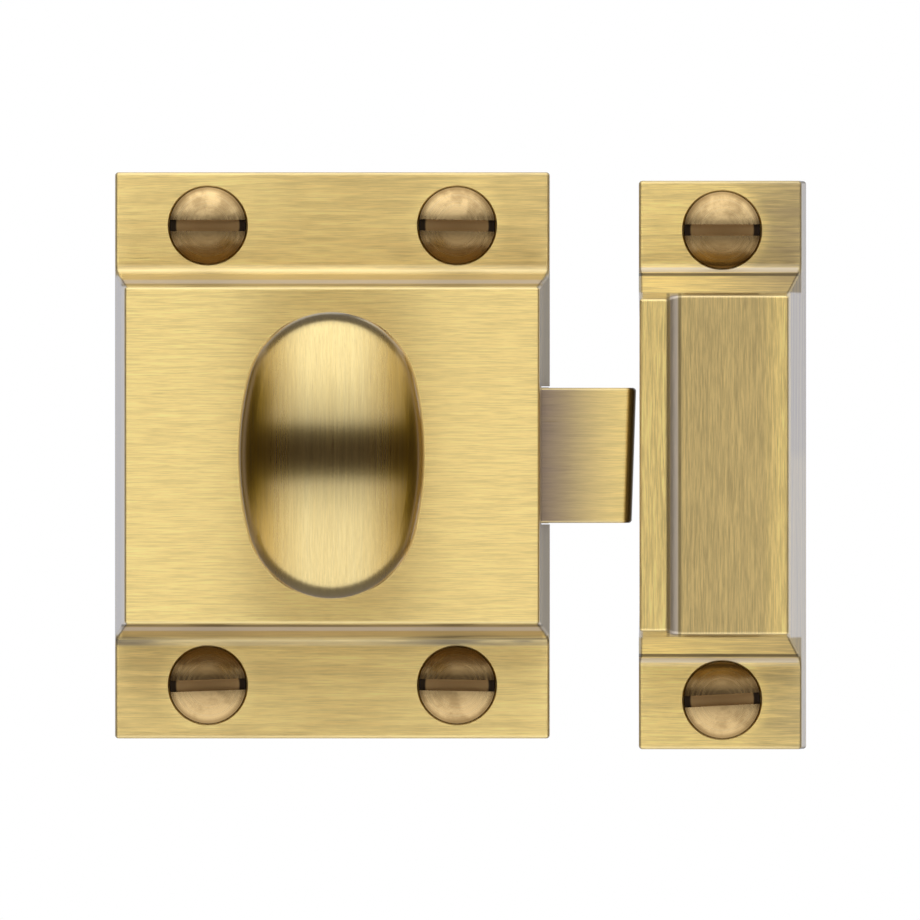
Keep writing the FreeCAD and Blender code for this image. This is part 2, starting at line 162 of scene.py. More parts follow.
def newGroup(name, inputs, outputs):
    group = bpy.data.node_groups.new(name, "ShaderNodeTree")
    for label, kind, default in inputs:
        socket = group.interface.new_socket(name=label, in_out="INPUT", socket_type="NodeSocket" + kind)
        if default is not None:
            socket.default_value = default
    for label, kind in outputs:
        group.interface.new_socket(name=label, in_out="OUTPUT", socket_type="NodeSocket" + kind)
    return group, group.nodes.new("NodeGroupInput").outputs, group.nodes.new("NodeGroupOutput").inputs


def useGroup(tree, group, inputs):
    return addNode(tree, "ShaderNodeGroup", inputs, node_tree=group).outputs


# Brush lines: noise on coordinates that the material has stretched along the stroke. Lines are the fine and
# middling marks, Scratches a few single deep ones, and Bands the broad uneven sweeps of the cloth.
brushMarks = {
    "fineShare": 0.6, "lineLimits": (0.30, 0.70),
    "middlingScale": (0.45, 0.45, 0.45), "middlingShift": (7, 3, 5),
    "scratchScale": (0.8, 0.8, 0.8), "scratchShift": (31, 17, 23), "scratchLimits": (0.68, 0.78),
    "bandScale": (0.3, 0.12, 0.12), "bandShift": (13, 29, 11), "bandLimits": (0.3, 0.7),
}


def brushLinesGroup():
    marks = brushMarks
    group, given, made = newGroup(
        "brushLines", [("Coords", "Vector", None)],
        [("Lines", "Float"), ("Scratches", "Float"), ("Bands", "Float")],
    )
    coords = given["Coords"]
    fine = noise(group, coords, detail=3.0, rough=0.65)
    middling = noise(group, stretched(group, coords, marks["middlingScale"], marks["middlingShift"]))
    lines = mixed(group, marks["fineShare"], middling, fine)
    plug(group, ramp(group, lines, *marks["lineLimits"]), made["Lines"])
    spread = stretched(group, coords, marks["scratchScale"], marks["scratchShift"])
    single = noise(group, spread, detail=1.0, rough=0.4)
    plug(group, ramp(group, single, *marks["scratchLimits"]), made["Scratches"])
    spread = stretched(group, coords, marks["bandScale"], marks["bandShift"])
    wide = noise(group, spread, detail=3.0, rough=0.55)
    plug(group, ramp(group, wide, *marks["bandLimits"]), made["Bands"])
    return group


def facing(tree):  # how squarely the surface faces along each of the piece's axes
    normal = addNode(tree, "ShaderNodeNewGeometry").outputs["Normal"]
    own = turned(tree, normal, "NORMAL", "WORLD", "OBJECT")
    return [unsigned(tree, part) for part in parts(tree, own)]


# Rubbed edges: where the surface faces between two axes it is a rounded edge, because the walls are nearly
# square.
def rubbedEdgeGroup():
    group, given, made = newGroup(
        "rubbedEdge", [("From", "Float", 0.34), ("To", "Float", 0.6)], [("Edge", "Float")]
    )
    sizes = facing(group)
    low = sums(group, "MINIMUM", sizes[0], sizes[1])
    high = sums(group, "MAXIMUM", sizes[0], sizes[1])
    second = sums(group, "MAXIMUM", low, sums(group, "MINIMUM", high, sizes[2]))
    plug(group, ramp(group, second, given["From"], given["To"]), made["Edge"])
    return group


# A soft box: 1 between two corners, fading to 0 over the given width outside it.
def softBoxGroup():
    corners = [(name, "Vector", None) for name in ("Coords", "Low", "High")]
    group, given, made = newGroup("softBox", corners + [("Fade", "Float", 0.3)], [("Inside", "Float")])
    place, low, high = (parts(group, given[name]) for name in ("Coords", "Low", "High"))
    inside = 1.0
    for at, start, end in zip(place, low, high):
        above = ramp(group, at, sums(group, "SUBTRACT", start, given["Fade"]), start)
        below = fade(group, at, end, sums(group, "ADD", end, given["Fade"]))
        inside = times(group, inside, above, below)
    plug(group, inside, made["Inside"])
    return group


brushLines = brushLinesGroup()
rubbedEdge = rubbedEdgeGroup()
softBox = softBoxGroup()


def objectPlace(tree):  # object coordinates in millimetres
    return vectors(tree, "SCALE", addNode(tree, "ShaderNodeTexCoord").outputs["Object"], 1 / mm)


def wavy(tree, place, amount):  # bends the strokes a little, as a hand does
    inputs = {"Vector": place, "Scale": 0.12, "Detail": 1.0}
    drift = addNode(tree, "ShaderNodeTexNoise", inputs).outputs["Color"]
    centred = vectors(tree, "SUBTRACT", drift, (0.5, 0.5, 0.5))
    return vectors(tree, "ADD", place, vectors(tree, "SCALE", centred, amount))


# Strokes of the brush: along the given way on the front, along the piece's height on its sides and across
# its ends
def brushed(tree, place, stroke):
    coords = stretched(tree, place, stroke)
    faces = facing(tree)
    along, middling, fine = sorted(stroke)
    for axis, scale in ((0, (middling, fine, along)), (2, (along, fine, middling))):
        onFace = ramp(tree, faces[axis], 0.6, 0.8)
        coords = mixedVectors(tree, onFace, coords, stretched(tree, place, scale))
    return useGroup(tree, brushLines, {"Coords": coords})


def leftAsCast(tree, strokes, mask):  # strokes fade out on faces that the brush never met
    plain = {"Lines": 0.5, "Scratches": 0.0, "Bands": 0.45}
    return {name: mixed(tree, mask, strokes[name], value) for name, value in plain.items()}


def atBack(tree, y):  # 1 on the faces that lie on the door
    return ramp(tree, y, -0.1, -0.02)


def inFrontOf(tree, y, level):
    return fade(tree, y, level, level + 0.1)


def lineAcross(tree, value, middle, half):  # 1 along a line, fading to 0 at half its width
    return fade(tree, awayFrom(tree, value, middle), 0.4 * half, half)


def boxMask(tree, place, low, high, fadeWidth):
    return useGroup(tree, softBox, {"Coords": place, "Low": low, "High": high, "Fade": fadeWidth})["Inside"]


def rubbedEdges(tree):
    return useGroup(tree, rubbedEdge, {})["Edge"]


def acrossStroke(tree, direction):  # the way the brush lines scatter light, turning with the piece
    vector = addNode(tree, "ShaderNodeCombineXYZ", dict(zip("XYZ", direction))).outputs[0]
    return turned(tree, vector, "VECTOR", "OBJECT", "WORLD")


def startMaterial(name):
    material = bpy.data.materials.new(name)
    material.use_nodes = True
    shader = material.node_tree.nodes["Principled BSDF"]
    return material, material.node_tree, shader


# Brushed brass: bright metal under an antique tone, streaked along the stroke, rubbed bright at its edges,
# darkened by dirt and by painted shade, and greyed by a painted reflection
brassTones = {
    "scratch": (0.30, 0.21, 0.10, 1), "edge": (0.97, 0.82, 0.46, 1),
    # The grey colour is a painted reflection; the dark colour is dirt and painted shade
    "paintedReflection": (0.60, 0.54, 0.50, 1), "dirtAndShade": (0.075, 0.055, 0.035, 1),
}
brassSurface = {
    "toneRough": 0.04, "edgeSmooth": 0.08, "scratchDepth": 0.8, "grooveDepth": 0.012, "coatRough": 0.12,
}


def finishBrass(tree, shader, look, strokes, scatter, tone, edge=0.0, dirtAndShade=0.0, paintedReflection=0.0, rough=None):
    surface = brassSurface
    lines, scratches, bands = strokes["Lines"], strokes["Scratches"], strokes["Bands"]
    tone = sums(tree, "ADD", tone, times(tree, bands, look["uneven"]), clamp=True)
    rub = times(tree, edge, look["rub"])
    tone = times(tree, tone, without(tree, rub))
    colour = blend(tree, tone, look["bright"], look["toned"])
    light = ramp(tree, lines, 0.0, 1.0, 1.0 - look["streak"], 1.0 + look["streak"])
    colour = blend(tree, 1.0, colour, greyOf(tree, light), "MULTIPLY")
    shares = {"scratch": times(tree, scratches, look["scratch"]), "edge": rub, "paintedReflection": paintedReflection, "dirtAndShade": dirtAndShade}
    for name, share in shares.items():
        colour = blend(tree, share, colour, brassTones[name])
    plug(tree, colour, shader.inputs["Base Color"])
    rough = look["rough"] if rough is None else rough
    rough = sums(tree, "ADD", rough, ramp(tree, lines, 0.0, 1.0, -look["swing"], look["swing"]))
    rough = sums(tree, "ADD", rough, times(tree, tone, surface["toneRough"]))
    rough = sums(tree, "SUBTRACT", rough, times(tree, edge, surface["edgeSmooth"]))
    plug(tree, rough, shader.inputs["Roughness"])
    height = sums(tree, "SUBTRACT", lines, times(tree, scratches, surface["scratchDepth"]))
    bumped(tree, shader, height, look["grooves"], surface["grooveDepth"])
    plug(tree, scatter, shader.inputs["Tangent"])
    shader.inputs["Metallic"].default_value = 1.0
    shader.inputs["Anisotropic"].default_value = look["grain"]
    shader.inputs["Coat Weight"].default_value = look["lacquer"]
    shader.inputs["Coat Roughness"].default_value = surface["coatRough"]


# A flange is lighter round its screws, and uneven from stroke to stroke
def flangeTone(tree, look, tone, strokes, across, up):
    aside, above = sums(tree, "SUBTRACT", across, look["screwX"]), sums(tree, "SUBTRACT", up, look["screwZ"])
    halo = fade(tree, distance(tree, aside, above), look["haloFrom"], look["haloTo"])
    tone = sums(tree, "SUBTRACT", tone, times(tree, halo, look["haloLift"]), clamp=True)
    return sums(tree, "ADD", tone, ramp(tree, strokes["Bands"], 0.2, 0.9, *look["bandTone"]), clamp=True)


# Case: stroked from side to side, toned on its flanges, with dirt and painted shade along the foot of the
# raised body.
# A line gives its distance from the middle and half its width. Two amounts are those of the lower and the
# upper half, or of the left and the right side.
caseLook = {
    "bright": (0.97, 0.755, 0.31, 1), "toned": (0.50, 0.355, 0.145, 1), "rough": 0.48, "swing": 0.04,
    "grain": 0.85, "lacquer": 1.0, "streak": 0.14, "scratch": 0.25, "grooves": 0.3, "uneven": 0.06,
    "rub": 0.35, "stroke": (0.42, 4.0, 13.0), "wave": 0.12, "castBack": 0.8,
    "half": 19.0, "sideHalf": 18.6, "panelHalf": 14.8, "bodyHalf": 16.05, "flangeY": -2.99,
    "screwX": 11.0, "screwZ": 20.3, "haloFrom": 3.5, "haloTo": 4.9, "haloLift": 0.2,
    "toneFrom": -4.0, "flangeTone": (0.05, 0.31), "bandTone": (-0.06, 0.12), "panelToneAndShade": 0.05,
    "slopeShade": (0.95, 0.68), "slopeRough": 0.6, "slopeLacquer": 0.1,
    "rimLine": (14.98, 0.16), "panelEdgeShade": (0.75, 0.40), "reflectionLine": (15.30, 0.25), "paintedReflection": 0.55,
    "footLine": (16.35, 0.60), "footDirtAndShade": (0.80, 0.15),
    "lightestX": -4.0, "lightestTo": 6.0, "darkestFrom": 15.0, "lightestShare": 0.45,
    "sideWallShade": (0.2, 0.45), "sideWear": (0.0, 0.6),
}


def caseFinish():
    look = caseLook
    material, tree, shader = startMaterial("caseBrass")
    place = objectPlace(tree)
    x, y, z = parts(tree, place)
    wide, tall = unsigned(tree, x), unsigned(tree, z)
    strokes = brushed(tree, wavy(tree, place, look["wave"]), look["stroke"])
    strokes = leftAsCast(tree, strokes, times(tree, atBack(tree, y), look["castBack"]))
    onFlange = ramp(tree, tall, look["bodyHalf"] - 0.3, look["bodyHalf"] + 0.3)
    onSide = ramp(tree, wide, look["sideHalf"] - 0.15, look["sideHalf"] + 0.1)
    onSide = times(tree, onSide, without(tree, onFlange))
    inFront = times(tree, inFrontOf(tree, y, look["flangeY"]), without(tree, onSide))
    onWall = times(tree, inFront, ramp(tree, tall, look["panelHalf"], look["panelHalf"] + 0.2))
    onSlope = times(tree, onWall, without(tree, onFlange))
    # The upper flange darkens to the right and the lower to the left; painted shade deepens the panel a little
    # to the right
    slant = times(tree, sums(tree, "SIGN", z), x)
    tone = ramp(tree, slant, look["toneFrom"], look["half"], *look["flangeTone"])
    tone = flangeTone(tree, look, tone, strokes, wide, tall)
    # Painted shade darkens the slopes, the lower one most
    bodyShade = times(tree, onWall, halves(tree, z, *look["slopeShade"]))
    bodyShade = sums(tree, "ADD", bodyShade, ramp(tree, x, -look["half"], look["half"], 0.0, look["panelToneAndShade"]))
    tone = mixed(tree, onFlange, bodyShade, tone)
    # Painted shade lies in a dark line under the panel's edge, heavier below; dirt and painted shade lie along
    # the foot, mostly below, under the raised body, and towards the corners; a painted grey reflection lies
    # between
    edgeShade = times(tree, lineAcross(tree, tall, *look["rimLine"]), halves(tree, z, *look["panelEdgeShade"]))
    fromLightest = awayFrom(tree, x, look["lightestX"])
    corner = ramp(tree, fromLightest, look["lightestTo"], look["darkestFrom"], look["lightestShare"], 1.0)
    foot = times(tree, lineAcross(tree, tall, *look["footLine"]), corner, halves(tree, z, *look["footDirtAndShade"]))
    patchy = ramp(tree, strokes["Bands"], 0.0, 1.0, 0.5, 1.0)
    dirtAndShade = times(tree, sums(tree, "MAXIMUM", edgeShade, foot), patchy, inFront)
    # Painted shade darkens the side walls, most on the side towards the keep
    dirtAndShade = sums(tree, "MAXIMUM", dirtAndShade, times(tree, onSide, halves(tree, x, *look["sideWallShade"])))
    paintedReflection = times(tree, lineAcross(tree, tall, *look["reflectionLine"]), look["paintedReflection"], inFront)
    rough = mixed(tree, onSlope, look["rough"], look["slopeRough"])
    scatter = acrossStroke(tree, (0, 0, 1))
    finishBrass(tree, shader, look, strokes, scatter, tone, rubbedEdges(tree), dirtAndShade, paintedReflection, rough)
    # The lacquer is worn off the side that the keep faces, and thin on the slopes
    worn = times(tree, onSide, halves(tree, x, *look["sideWear"]))
    lacquer = mixed(tree, onSlope, sums(tree, "SUBTRACT", look["lacquer"], worn), look["slopeLacquer"])
    plug(tree, lacquer, shader.inputs["Coat Weight"])
    return material


# Keep: its lip and panel are stroked up and down, its flanges from side to side
keepLook = {
    "bright": (0.95, 0.74, 0.30, 1), "toned": (0.33, 0.25, 0.15, 1), "rough": 0.52, "swing": 0.04,
    "grain": 0.85, "lacquer": 1.0, "streak": 0.18, "scratch": 0.3, "grooves": 0.35, "uneven": 0.07,
    "rub": 0.35, "panelRough": 0.57, "panelGrain": 0.25,
    "strokeAcross": (0.45, 4.0, 12.0), "strokeUp": (12.0, 4.0, 0.5), "wave": 0.12, "castBack": 0.8,
    "panelLow": (20.0, -20.0, -15.9), "panelHigh": (60.0, -9.6, 14.2), "panelFade": 0.15,
    "pocketLow": (20.0, -10.2, -15.8), "pocketHigh": (39.8, 5.0, 14.1), "pocketFade": 0.3,
    "middleZ": -0.85, "wallHalf": 15.1, "footHalf": 17.15, "flangeY": -2.99, "sideX": (41.0, 41.3),
    "screwX": 34.42, "screwZ": 20.75, "haloFrom": 3.5, "haloTo": 4.6, "haloLift": 0.25,
    "toneX": (31.0, 41.5), "leastTone": 0.02, "flangeTone": (0.36, 0.62), "bandTone": (-0.08, 0.10),
    "panelToneAndShade": 0.39, "panelTonedX": (29.6, 30.6), "panelBrightX": (37.4, 39.8),
    "slopeRough": 0.6, "slopeLacquer": 0.1,
    "stepX": 30.1, "stepFade": (0.25, 0.50), "stepReflection": 0.8,
    "grooveRise": (0.30, 0.45), "grooveFall": (0.55, 0.72), "stepShade": (0.35, 0.75),
    "reflectionLine": (17.23, 0.3), "footReflection": 0.6, "shadeLine": (16.81, 0.2), "footDirtAndShade": 0.81,
}


def keepFinish():
    look = keepLook
    material, tree, shader = startMaterial("keepBrass")
    place = objectPlace(tree)
    x, y, z = parts(tree, place)
    tall = awayFrom(tree, z, look["middleZ"])
    onPanel = boxMask(tree, place, look["panelLow"], look["panelHigh"], look["panelFade"])
    inPocket = boxMask(tree, place, look["pocketLow"], look["pocketHigh"], look["pocketFade"])
    inFront = inFrontOf(tree, y, look["flangeY"])
    onSlope = times(
        tree, inFront, ramp(tree, tall, look["wallHalf"], look["wallHalf"] + 0.2),
        fade(tree, tall, look["footHalf"], look["footHalf"] + 0.3),
    )
    bent = wavy(tree, place, look["wave"])
    across, upward = (brushed(tree, bent, look[way]) for way in ("strokeAcross", "strokeUp"))
    marks = ("Lines", "Scratches", "Bands")
    strokes = {name: mixed(tree, onPanel, across[name], upward[name]) for name in marks}
    asCast = sums(tree, "MAXIMUM", inPocket, atBack(tree, y))
    strokes = leftAsCast(tree, strokes, times(tree, asCast, look["castBack"]))
    tone = ramp(tree, x, *look["toneX"], look["leastTone"], halves(tree, z, *look["flangeTone"]))
    tone = flangeTone(tree, look, tone, strokes, x, tall)
    toned, untoned = ramp(tree, x, *look["panelTonedX"]), fade(tree, x, *look["panelBrightX"])
    tone = mixed(tree, onPanel, tone, times(tree, untoned, look["panelToneAndShade"], toned))
    # The step beside the lip has a painted grey reflection, with painted shade along both its edges
    away = awayFrom(tree, x, look["stepX"])
    paintedReflection = times(tree, fade(tree, away, *look["stepFade"]), look["stepReflection"], onPanel)
    groove = times(tree, ramp(tree, away, *look["grooveRise"]), fade(tree, away, *look["grooveFall"]))
    dirtAndShade = times(tree, groove, onPanel, ramp(tree, strokes["Lines"], 0.0, 1.0, *look["stepShade"]))
    # and the same along the foot of the hood
    onFoot = times(tree, inFront, fade(tree, x, *look["sideX"]))
    footReflection = times(tree, lineAcross(tree, tall, *look["reflectionLine"]), look["footReflection"], onFoot)
    footDirtAndShade = times(tree, lineAcross(tree, tall, *look["shadeLine"]), look["footDirtAndShade"], onFoot)
    paintedReflection = sums(tree, "MAXIMUM", paintedReflection, footReflection)
    dirtAndShade = sums(tree, "MAXIMUM", dirtAndShade, footDirtAndShade)
    rough = mixed(tree, onSlope, mixed(tree, onPanel, look["rough"], look["panelRough"]), look["slopeRough"])
    scatter = mixedVectors(tree, onPanel, acrossStroke(tree, (0, 0, 1)), acrossStroke(tree, (1, 0, 0)))
    finishBrass(tree, shader, look, strokes, scatter, tone, rubbedEdges(tree), dirtAndShade, paintedReflection, rough)
    plug(tree, mixed(tree, onPanel, look["grain"], look["panelGrain"]), shader.inputs["Anisotropic"])
    plug(tree, mixed(tree, onSlope, look["lacquer"], look["slopeLacquer"]), shader.inputs["Coat Weight"])
    return material


# Bolt: dull where it runs inside the case, darker beside the case's edge with painted shade, rubbed bright
# towards its end, whose rounded nose is darkened with painted shade
boltLook = {
    "bright": (0.88, 0.68, 0.27, 1), "toned": (0.29, 0.22, 0.165, 1), "rough": 0.48, "swing": 0.04,
    "grain": 0.85, "lacquer": 0.5, "streak": 0.11, "scratch": 0.3, "grooves": 0.25, "uneven": 0.05,
    "rub": 0.4, "stroke": (0.5, 4.0, 13.0), "wave": 0.3, "dullTo": 17.5, "brightFrom": 26.4,
    "noseFrom": 26.0, "noseTo": 26.3, "noseShade": 0.9, "slant": 0.0336, "top": 5.95,
}


def boltFinish():
    look = boltLook
    material, tree, shader = startMaterial("boltBrass")
    place = objectPlace(tree)
    at = parts(tree, place)
    strokes = brushed(tree, wavy(tree, place, look["wave"]), look["stroke"])
    # Darker towards the case: wear where it runs inside, and painted shade beside the case's edge
    tone = fade(tree, at["X"], look["dullTo"], look["brightFrom"])
    # Painted shade in a dark line along the rounded nose
    lean = times(tree, sums(tree, "SUBTRACT", look["top"], at["Z"]), look["slant"])
    along = sums(tree, "ADD", at["X"], lean)
    nose = ramp(tree, along, look["noseFrom"], look["noseTo"], 0.0, look["noseShade"])
    finishBrass(tree, shader, look, strokes, acrossStroke(tree, (0, 0, 1)), tone, rubbedEdges(tree), nose)
    return material


# Knob: finely stroked along its length, smooth enough to mirror the room, with painted shade deepening its
# tone towards its sides
knobLook = {
    "bright": (0.61, 0.48, 0.205, 1), "toned": (0.45, 0.265, 0.028, 1), "rough": 0.25, "swing": 0.01,
    "grain": 0.7, "lacquer": 1.0, "streak": 0.08, "scratch": 0.3, "grooves": 0.1, "uneven": 0.10, "rub": 0.0,
    "stroke": (11.0, 2.0, 0.2), "front": (0.35, 0.75),
    "sideFrom": 1.8, "sideTo": 7.2, "middleTone": 0.0, "sideShade": 0.97,
}


def knobFinish():
    look = knobLook
    material, tree, shader = startMaterial("knobBrass")
    place = objectPlace(tree)
    wide = unsigned(tree, parts(tree, place)["X"])
    marks = useGroup(tree, brushLines, {"Coords": stretched(tree, place, look["stroke"])})
    onFront = ramp(tree, facing(tree)[1], *look["front"])  # the rim and the neck are plain
    strokes = {
        "Lines": mixed(tree, onFront, 0.5, marks["Lines"]),
        "Scratches": times(tree, marks["Scratches"], onFront),
        "Bands": marks["Bands"],
    }
    # Painted shade: the tone deepens and darkens towards the knob's sides
    tone = ramp(tree, wide, look["sideFrom"], look["sideTo"], look["middleTone"], look["sideShade"])
    finishBrass(tree, shader, look, strokes, acrossStroke(tree, (1, 0, 0)), tone)
    return material


# Screws: turned in a lathe, so their marks run round the axis; toned brown, with painted shade darkest at the
# rim, in the slot and in the slot's ends
screwLook = {
    "base": (0.68, 0.49, 0.24, 1), "dark": (0.20, 0.12, 0.045, 1), "rub": (0.84, 0.66, 0.36, 1),
    "slot": (0.40, 0.25, 0.11, 1), "slotEndShadow": (0.03, 0.02, 0.013, 1),
    "rough": 0.24, "swing": 0.06, "slotRough": 0.2, "rings": 4.0, "ringRub": 0.25,
    "grooves": 0.25, "grooveDepth": 0.012, "cloud": 0.45, "cloudLimits": (0.34, 0.58), "leastBase": 0.45,
    "shadeZ": (-1.2, 0.6), "shaded": 0.78, "lowShaded": 0.3, "rimRadius": (2.85, 3.3), "rimShade": 0.7,
    "slotTop": (-3.08, -2.98), "slotFloor": (-2.6, -2.4), "slotSide": (0.52, 0.56), "slotEnd": (2.68, 2.88),
}


def screwFinish():
    look = screwLook
    material, tree, shader = startMaterial("screwBrass")
    ownPlace = addNode(tree, "ShaderNodeAttribute", attribute_name="screwPlace").outputs["Vector"]
    x, y, z = parts(tree, ownPlace)
    place = objectPlace(tree)
    height = parts(tree, place)["Z"]
    radius = distance(tree, x, z)
    ringPlace = addNode(tree, "ShaderNodeCombineXYZ", {0: radius, 1: y}).outputs[0]
    rings = noise(tree, ringPlace, look["rings"], detail=3.0, rough=0.6)
    cloud = noise(tree, place, look["cloud"], detail=4.0, rough=0.6)
    toned = ramp(tree, cloud, *look["cloudLimits"], look["leastBase"], 1.0)
    colour = blend(tree, toned, look["dark"], look["base"])
    colour = blend(tree, ramp(tree, rings, 0.5, 0.75, 0.0, look["ringRub"]), colour, look["rub"])
    # The half of each head that lies towards the latch's middle is in shade
    outward = times(tree, z, sums(tree, "SIGN", height))
    shade = ramp(tree, outward, *look["shadeZ"], look["shaded"], halves(tree, height, look["lowShaded"], 0.0))
    colour = blend(tree, shade, colour, look["dark"])
    colour = blend(tree, ramp(tree, radius, *look["rimRadius"], 0.0, look["rimShade"]), colour, look["dark"])
    inSlot = times(
        tree, ramp(tree, y, *look["slotTop"]), fade(tree, unsigned(tree, z), *look["slotSide"]),
        fade(tree, y, *look["slotFloor"]),
    )
    # Painted shade darkens the slot's floor, and a painted shadow blackens its ends
    floor = blend(tree, ramp(tree, radius, *look["slotEnd"]), look["slot"], look["slotEndShadow"])
    plug(tree, blend(tree, inSlot, colour, floor), shader.inputs["Base Color"])
    rough = ramp(tree, rings, 0.3, 0.7, look["rough"] - look["swing"], look["rough"] + look["swing"])
    plug(tree, sums(tree, "ADD", rough, times(tree, inSlot, look["slotRough"])), shader.inputs["Roughness"])
    bumped(tree, shader, rings, look["grooves"], look["grooveDepth"])
    shader.inputs["Metallic"].default_value = 1.0
    return material


# Inner pieces: rolled or milled brass, a little dull
innerLook = {
    "base": (0.66, 0.50, 0.23, 1), "dull": (0.55, 0.41, 0.185, 1), "rough": (0.31, 0.45), "cloud": 0.25,
    "stroke": (0.25, 2.0, 2.5), "scratch": 0.5, "grooves": 0.2, "grooveDepth": 0.02,
}


def innerFinish():
    look = innerLook
    material, tree, shader = startMaterial("innerBrass")
    place = objectPlace(tree)
    strokes = useGroup(tree, brushLines, {"Coords": stretched(tree, place, look["stroke"])})
    cloud = noise(tree, place, look["cloud"], detail=4.0, rough=0.6)
    colour = blend(tree, ramp(tree, cloud, 0.35, 0.7), look["base"], look["dull"])
    colour = blend(tree, times(tree, strokes["Scratches"], look["scratch"]), colour, look["dull"])
    plug(tree, colour, shader.inputs["Base Color"])
    plug(tree, ramp(tree, strokes["Lines"], 0.0, 1.0, *look["rough"]), shader.inputs["Roughness"])
    bumped(tree, shader, strokes["Lines"], look["grooves"], look["grooveDepth"])
    shader.inputs["Metallic"].default_value = 1.0
    return material


# Steel: drawn wire and small turned screws
steelLook = {
    "base": (0.50, 0.50, 0.50, 1), "dull": (0.42, 0.415, 0.41, 1), "rough": (0.24, 0.38), "cloud": 0.8,
    "grain": 9.0, "pits": 0.15, "pitDepth": 0.01,
}


def steelFinish():
    look = steelLook
    material, tree, shader = startMaterial("brightSteel")
    place = objectPlace(tree)
    cloud = noise(tree, place, look["cloud"], detail=4.0, rough=0.6)
    grain = noise(tree, place, look["grain"])
    colour = blend(tree, ramp(tree, cloud, 0.35, 0.7), look["base"], look["dull"])
    plug(tree, colour, shader.inputs["Base Color"])
    plug(tree, ramp(tree, grain, 0.3, 0.7, *look["rough"]), shader.inputs["Roughness"])
    bumped(tree, shader, grain, look["pits"], look["pitDepth"])
    shader.inputs["Metallic"].default_value = 1.0
    return material


finishes = {
    "case": caseFinish(), "keep": keepFinish(), "latch_bolt": boltFinish(), "oval_knob": knobFinish(),
    "screws": screwFinish(), "inner": innerFinish(), "steel": steelFinish(),
}
wornBy = {
    "case": "case", "keep": "keep", "latch_bolt": "latch_bolt", "oval_knob": "oval_knob",
    "back_plate": "inner", "follower": "inner",
    "spindle": "steel", "back_plate_screws": "steel", "follower_washer": "steel", "follower_screw": "steel",
    "spring_pin": "steel",
}
for node, finish in wornBy.items():
    nodes[node].data.materials.clear()
    nodes[node].data.materials.append(finishes[finish])
print("finishes made:", len(finishes))


# Quads between neighbouring rows and columns of a grid of points, closed round the columns if asked.
def gridQuads(rows, columns, closed=False, first=0):
    row = np.arange(rows - 1)[:, None] * columns
    here = np.arange(columns - (0 if closed else 1))[None, :]
    there = (here + 1) % columns
    corners = [row + here, row + there, row + columns + there, row + columns + here]
    return first + np.stack(corners, -1).reshape(-1, 4)


def addObject(name, data):
    thing = bpy.data.objects.new(name, data)
    bpy.context.scene.collection.objects.link(thing)
    return thing


def newPiece(name, points, quads, material, attribute=None, crease=35.0):
    mesh = bpy.data.meshes.new(name)
    mesh.from_pydata(points.tolist(), [], quads.tolist())
    if attribute:
        label, values = attribute
        layer = mesh.attributes.new(label, "FLOAT_VECTOR", "POINT")
        layer.data.foreach_set("vector", values.astype(np.float32).ravel())
    work = bmesh.new()
    work.from_mesh(mesh)
    bmesh.ops.remove_doubles(work, verts=work.verts, dist=1e-7)
    bmesh.ops.dissolve_degenerate(work, edges=work.edges, dist=1e-8)
    bmesh.ops.recalc_face_normals(work, faces=work.faces)
    work.to_mesh(mesh)
    work.free()
    mesh.shade_smooth()
    mesh.set_sharp_from_angle(angle=math.radians(crease))
    mesh.materials.append(material)
    return addObject(name, mesh)


# Wood screw, millimetres: Y runs down the axis from the head
screwSizes = {
    "headRadius": 3.37, "headTop": -3.85, "rimY": -3.1, "landY": -2.9, "slotHalf": 0.5, "slotFloor": -2.85,
    "shankRadius": 1.5, "shankEnd": 0.0, "threadRadius": 1.75, "coreRadius": 1.18, "pitch": 1.41,
    "ridge": 0.30, "crestShape": 0.85, "runIn": 0.8, "coreTaper": 0.9, "ridgeTaper": 0.55,
    "taperY": 8.2, "pointY": 13.0, "sectors": 17, "floorRows": 4, "columns": 21, "stepsPerTurn": 14,
}


def domeY(radius):  # the raised head: a cap of a sphere through the top and the rim
    s = screwSizes
    rise = s["rimY"] - s["headTop"]
    ball = (s["headRadius"] ** 2 + rise**2) / (2 * rise)
    return s["headTop"] + ball - np.sqrt(ball**2 - radius**2)


def bodyRadius(y, turn):
    # Radius at depth y and angle turn: rim, cone and shank, then a core with a ridge that climbs one pitch a
    # turn; core and ridge both shrink to nothing at the point.
    s = screwSizes
    coneEnd = s["landY"] + s["headRadius"] - s["shankRadius"]
    outline = [s["headRadius"]] * 2 + [s["shankRadius"]] * 2
    head = np.interp(y, [s["rimY"], s["landY"], coneEnd, s["shankEnd"]], outline)
    phase = np.mod(y / s["pitch"] - turn / (2 * np.pi), 1.0)
    crest = np.clip(1 - np.abs(phase - 0.5) / s["ridge"], 0, 1) ** s["crestShape"]
    runIn = np.clip(y / (s["runIn"] * s["pitch"]), 0, 1)
    taper = np.clip((s["pointY"] - y) / (s["pointY"] - s["taperY"]), 0, 1)
    core = s["shankRadius"] + (s["coreRadius"] - s["shankRadius"]) * runIn
    ridge = (s["threadRadius"] - s["coreRadius"]) * crest * runIn
    thread = core * taper ** s["coreTaper"] + ridge * taper ** s["ridgeTaper"]
    return np.where(y <= s["shankEnd"], head, thread)


